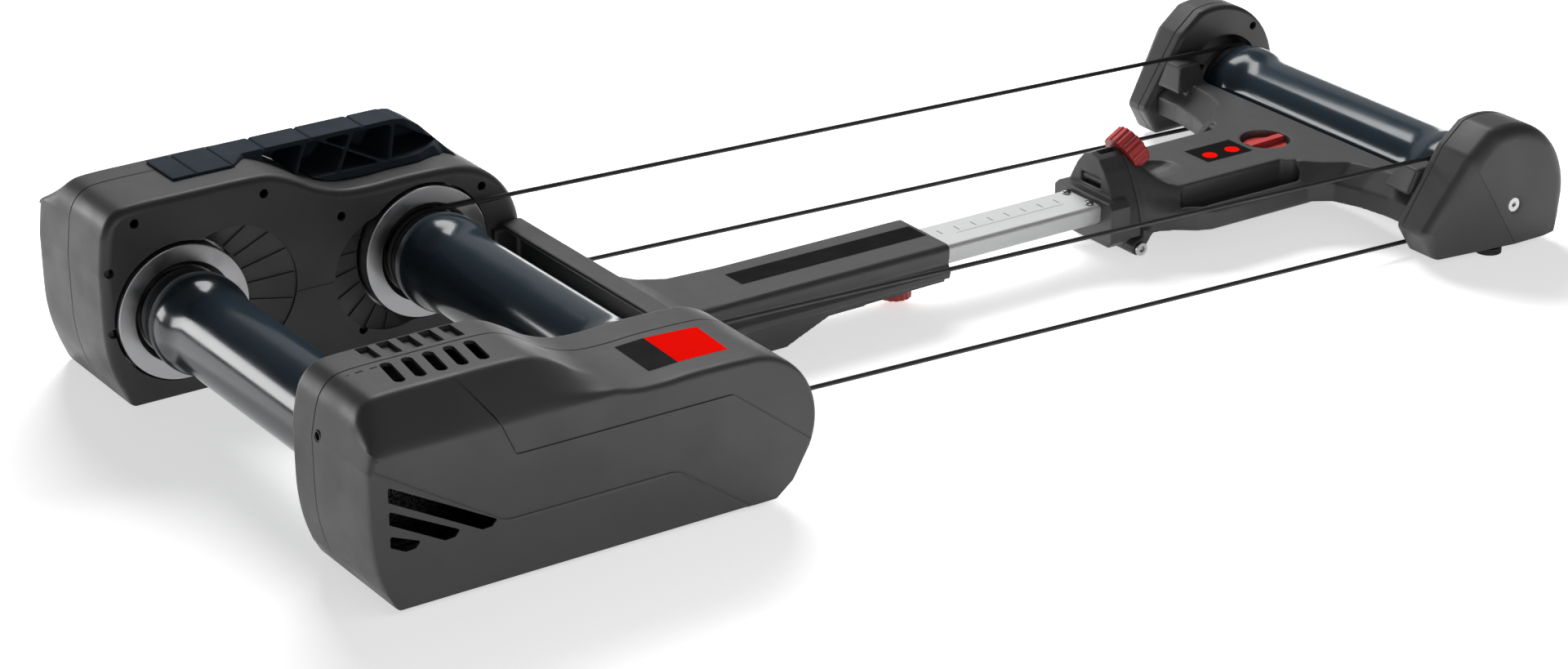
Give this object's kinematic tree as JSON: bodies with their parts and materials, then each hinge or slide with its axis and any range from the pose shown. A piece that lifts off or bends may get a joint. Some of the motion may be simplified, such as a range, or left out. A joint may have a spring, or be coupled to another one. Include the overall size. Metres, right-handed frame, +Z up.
{
  "type": "bike rollers",
  "caption": "Folding bike training rollers: moulded end housings with a brake, a step, a telescopic beam, a folding front yoke and belt-driven front roller.",
  "frame": {"origin": "floor level below the middle of the whole box", "axes": "+X from the rear rollers to the front one, +Y to the side with the step, +Z up from the floor"},
  "size_m": [1.247, 0.578, 0.179],
  "materials": {
    "charcoal_plastic": "matt, faint grain",
    "black_plastic": "matt",
    "navy_plastic": "satin",
    "drum_plastic": "gloss",
    "plug_plastic": "satin",
    "disc_aluminium": "turned",
    "rail_aluminium": "anodised silver",
    "steel": "bright",
    "red_plastic": "satin",
    "belt_rubber": "matt",
    "foot_rubber": "matt",
    "board_green": "lacquered"
  },
  "bodies": {
    "rear_unit": {"main_frame": "charcoal_plastic", "near_end_plate": "steel", "far_end_plate": "steel", "beam_cover": "black_plastic", "rail_guide": "black_plastic", "far_inner_shell": "charcoal_plastic", "far_outer_shell": "charcoal_plastic", "near_inner_shell": "charcoal_plastic", "near_outer_shell": "charcoal_plastic", "step_plate": "navy_plastic", "servo_motor": "black_plastic", "circuit_board": "board_green", "power_socket": "black_plastic", "rear_axle": "steel", "middle_axle": "steel", "far_rear_foot": "foot_rubber", "far_middle_foot": "foot_rubber", "near_rear_foot": "foot_rubber", "near_middle_foot": "foot_rubber", "near_belt": "belt_rubber", "far_belt": "belt_rubber"},
    "rear_roller": {"drum_rear": "drum_plastic", "rear_plug_near": "plug_plastic", "rear_plug_far": "plug_plastic", "rear_bearing_near": "steel", "rear_bearing_far": "steel", "rear_flywheel": "disc_aluminium", "brake_disc": "disc_aluminium"},
    "middle_roller": {"drum_middle": "drum_plastic", "middle_plug_near": "plug_plastic", "middle_plug_far": "plug_plastic", "middle_bearing_near": "steel", "middle_bearing_far": "steel", "middle_flywheel": "disc_aluminium"},
    "brake": {"magnet_carrier": "steel"},
    "rail_unit": {"rail": "rail_aluminium", "pivot_block": "charcoal_plastic", "hinge_pin": "steel", "lock_nut": "steel"},
    "rail_clamp_screw": {"clamp_screw": "steel"},
    "rail_clamp_knob": {"clamp_knob": "red_plastic"},
    "front_unit": {"front_yoke": "charcoal_plastic", "far_cap_inner": "charcoal_plastic", "far_cap_outer": "charcoal_plastic", "near_cap_inner": "charcoal_plastic", "near_cap_outer": "charcoal_plastic", "front_axle": "steel", "far_axle_screw": "steel", "near_axle_screw": "steel", "far_cap_foot": "foot_rubber", "near_cap_foot": "foot_rubber"},
    "fold_lock_screw": {"lock_screw": "steel"},
    "fold_lock_knob": {"lock_knob": "red_plastic"},
    "dial": {"front_dial": "red_plastic"},
    "front_roller": {"drum_front": "drum_plastic", "front_plug_near": "plug_plastic", "front_plug_far": "plug_plastic", "front_bearing_near": "steel", "front_bearing_far": "steel"}
  },
  "joints": [
    {"name": "rear_roller_turn", "type": "hinge", "parent": "rear_unit", "child": "rear_roller", "pos_m": [-0.5545, -0.012, 0.076], "axis": [0, 1, 0], "continuous": true},
    {"name": "middle_roller_turn", "type": "hinge", "parent": "rear_unit", "child": "middle_roller", "pos_m": [-0.3265, -0.012, 0.076], "axis": [0, 1, 0], "continuous": true},
    {"name": "front_roller_turn", "type": "hinge", "parent": "front_unit", "child": "front_roller", "pos_m": [0.5595, -0.012, 0.046], "axis": [0, 1, 0], "continuous": true},
    {"name": "brake_swing", "type": "hinge", "parent": "rear_unit", "child": "brake", "pos_m": [-0.47933, -0.012, 0.10336], "axis": [0, 1, 0], "range_deg": [0, 12]},
    {"name": "rail_slide", "type": "slide", "parent": "rear_unit", "child": "rail_unit", "axis": [1, 0, 0], "range_m": [-0.126, 0.018], "deforming": ["near_belt", "far_belt"]},
    {"name": "front_fold", "type": "hinge", "parent": "rail_unit", "child": "front_unit", "pos_m": [0.2765, -0.012, 0.0107], "axis": [0, 1, 0], "range_deg": [0, 165], "deforming": ["near_belt", "far_belt"]},
    {"name": "clamp_travel", "type": "slide", "parent": "rear_unit", "child": "rail_clamp_screw", "axis": [0, 0, -1], "range_m": [0, 0.003]},
    {"name": "clamp_turn", "type": "hinge", "parent": "rail_clamp_screw", "child": "rail_clamp_knob", "pos_m": [0.0395, -0.012, 0.013], "axis": [0, 0, -1], "range_deg": [0, 540]},
    {"name": "lock_travel", "type": "slide", "parent": "front_unit", "child": "fold_lock_screw", "axis": [0.866, 0, 0.5], "range_m": [0, 0.008]},
    {"name": "lock_turn", "type": "hinge", "parent": "fold_lock_screw", "child": "fold_lock_knob", "pos_m": [0.2955, -0.012, 0.087], "axis": [0.866, 0, 0.5], "range_deg": [0, 1440]},
    {"name": "dial_turn", "type": "hinge", "parent": "front_unit", "child": "dial", "pos_m": [0.4585, -0.012, 0.056], "axis": [0, 0, 1], "range_deg": [0, 90]}
  ],
  "couplings": [
    {"joint": "front_roller_turn", "follows": "middle_roller_turn", "ratio": 1},
    {"joint": "clamp_turn", "follows": "clamp_travel", "rad_per_m": 3141.6},
    {"joint": "lock_turn", "follows": "lock_travel", "rad_per_m": 3141.6}
  ]
}
